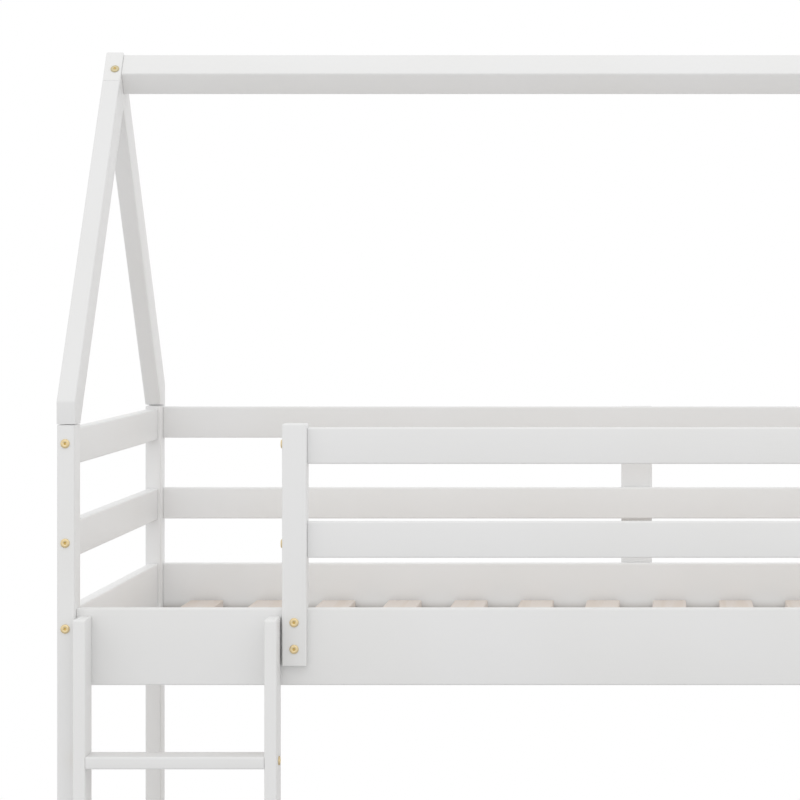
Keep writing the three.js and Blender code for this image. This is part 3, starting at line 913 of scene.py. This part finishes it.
# %% List the bolts of the long rails
side_rail_drops = (0.070, 0.110)
top_rail_drops, middle_rail_drops = (0.049,), (0.019,)
long_rails = [(f"{bunk}_{row}_side_rail", row, side_rail_drops)
              for bunk in ("upper", "lower") for row in ("front", "back")]
long_rails += [("back_rail_top", "back", top_rail_drops),
               ("back_rail_middle", "back", middle_rail_drops),
               ("guard_rail_top", "front", top_rail_drops),
               ("guard_rail_middle", "front", middle_rail_drops)]
for name, row, drops in long_rails:
    rail_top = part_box(name)[1].z
    for side, towards in (("left", LEFTWARDS), ("right", RIGHTWARDS)):
        if name.startswith("guard") and side == "left":
            continue
        post_low, post_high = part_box(f"post_{row}_{side}")
        face_x = post_low.x if side == "left" else post_high.x
        for drop in drops:
            bolt_at(face_x, middle(name, 1), rail_top - drop, towards)
print(len(bolts), "bolts with those of the long rails")

# %% [markdown]
# The guard post's front bolts go into the side rail, which it laps. Those in its left side go into
# the guard rails' ends, and their heads stand 2 mm proud of the wood, as they do in the photo. Each
# rung takes one bolt from either side.

# %% List the bolts of the guard post and the ladder
guard_post_drops = (0.024, 0.072)
guard_rail_drops = {"guard_rail_top": 0.0297, "guard_rail_middle": 0.0404}
ladder_bolt_drop = 0.045
standing_proud = 0.0021
post_low, post_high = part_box("guard_post")
side_rail_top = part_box("upper_front_side_rail")[1].z
for drop in guard_post_drops:
    bolt_at(middle("guard_post", 0), post_low.y, side_rail_top - drop, FRONTWARDS)
for rail, drop in guard_rail_drops.items():
    bolt_at(post_low.x - standing_proud, middle(rail, 1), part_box(rail)[1].z - drop, LEFTWARDS)
for side, towards in (("left", LEFTWARDS), ("right", RIGHTWARDS)):
    stringer_low, stringer_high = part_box(f"ladder_stringer_{side}")
    face_x = stringer_low.x if side == "left" else stringer_high.x
    for rung in rungs:
        bolt_at(face_x, middle(rung, 1), middle(rung, 2), towards)
    for bunk in ("upper", "lower"):
        rail_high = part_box(f"{bunk}_front_side_rail")[1]
        bolt_at(middle(f"ladder_stringer_{side}", 0), rail_high.y,
                rail_high.z - ladder_bolt_drop, BACKWARDS)
print(len(bolts), "bolts with those of the guard post and the ladder")

# %% [markdown]
# Two bolts go through the upper sides of each ridge block, square to the slope and down into the
# ends of the rafters. They stand side by side, because they would meet inside the block.

# %% List the bolts of the ridge
ridge_bolt_share = 0.957
ridge_bolt_drop = ridge_bolt_share * block_side * sin(pitch) ** 2
bolt_pass = 0.0044
for side, inwards in (("left", 1), ("right", -1)):
    for row, offset in ((-1, bolt_pass), (1, -bolt_pass)):
        bolt_at(middle(f"ridge_block_{side}", 0) + inwards * offset,
                middle_y + row * ridge_bolt_drop * cos(pitch),
                peak_z - ridge_bolt_drop * sin(pitch), (0, row * sin(pitch), cos(pitch)))
print(len(bolts), "bolts in all")

# %% [markdown]
# The second tree puts a bolt on every point of a mesh that has no faces. The point's own
# direction turns the bolt's axis outwards, and a random turn about that axis sets its socket, as
# the key leaves it.

# %% Drive in the bolts
bolt_tree, given, bolt_keys = new_tree("bolts_on_faces", [
    ("Bolt", "NodeSocketObject"), ("Size", "NodeSocketFloat"), ("Seed", "NodeSocketInt"),
    ("Finish", "NodeSocketMaterial")])
outward = node(bolt_tree, "GeometryNodeInputNamedAttribute", data_type="FLOAT_VECTOR",
               inputs={"Name": "outward"})
aimed = node(bolt_tree, "FunctionNodeAlignRotationToVector", axis="Z")
turns = node(bolt_tree, "FunctionNodeRandomValue", data_type="FLOAT")
spin = node(bolt_tree, "FunctionNodeAxisAngleToRotation", inputs={"Axis": (0, 0, 1)})
turned = node(bolt_tree, "FunctionNodeRotateRotation", rotation_space="LOCAL")
bolt_shape = node(bolt_tree, "GeometryNodeObjectInfo")
copies = node(bolt_tree, "GeometryNodeInstanceOnPoints")
bolt_tree.links.new(outward.outputs["Attribute"], aimed.inputs["Vector"])
bolt_tree.links.new(given.outputs["Seed"], turns.inputs["Seed"])
bolt_tree.links.new(turns.outputs[1], spin.inputs["Angle"])
bolt_tree.links.new(aimed.outputs["Rotation"], turned.inputs["Rotation"])
bolt_tree.links.new(spin.outputs["Rotation"], turned.inputs["Rotate By"])
bolt_tree.links.new(given.outputs["Bolt"], bolt_shape.inputs["Object"])
bolt_tree.links.new(given.outputs["Geometry"], copies.inputs["Points"])
bolt_tree.links.new(bolt_shape.outputs["Geometry"], copies.inputs["Instance"])
bolt_tree.links.new(turned.outputs["Rotation"], copies.inputs["Rotation"])
bolt_tree.links.new(given.outputs["Size"], copies.inputs["Scale"])
end_tree(bolt_tree, given, copies.outputs["Instances"])

points = bpy.data.meshes.new("bolt_places")
points.from_pydata([place for place, towards in bolts], [], [])
outwards = points.attributes.new("outward", "FLOAT_VECTOR", "POINT")
for entry, (place, towards) in zip(outwards.data, bolts):
    entry.vector = towards
bolt_set = grown("connector_bolts", bolt_tree, bolt_keys,
                 {"Bolt": bolt_blank, "Size": 1.0, "Seed": 5, "Finish": plating}, points)
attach(bolt_set, "root")
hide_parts("post_bolt_top", "post_bolt_middle", "post_bolt_bottom",
            "guard_post_bolt_1", "guard_post_bolt_2", "ridge_bolt")
bpy.data.objects.remove(bolt_blank)
print("the bolts have", len(bolt_set.data.polygons), "faces")
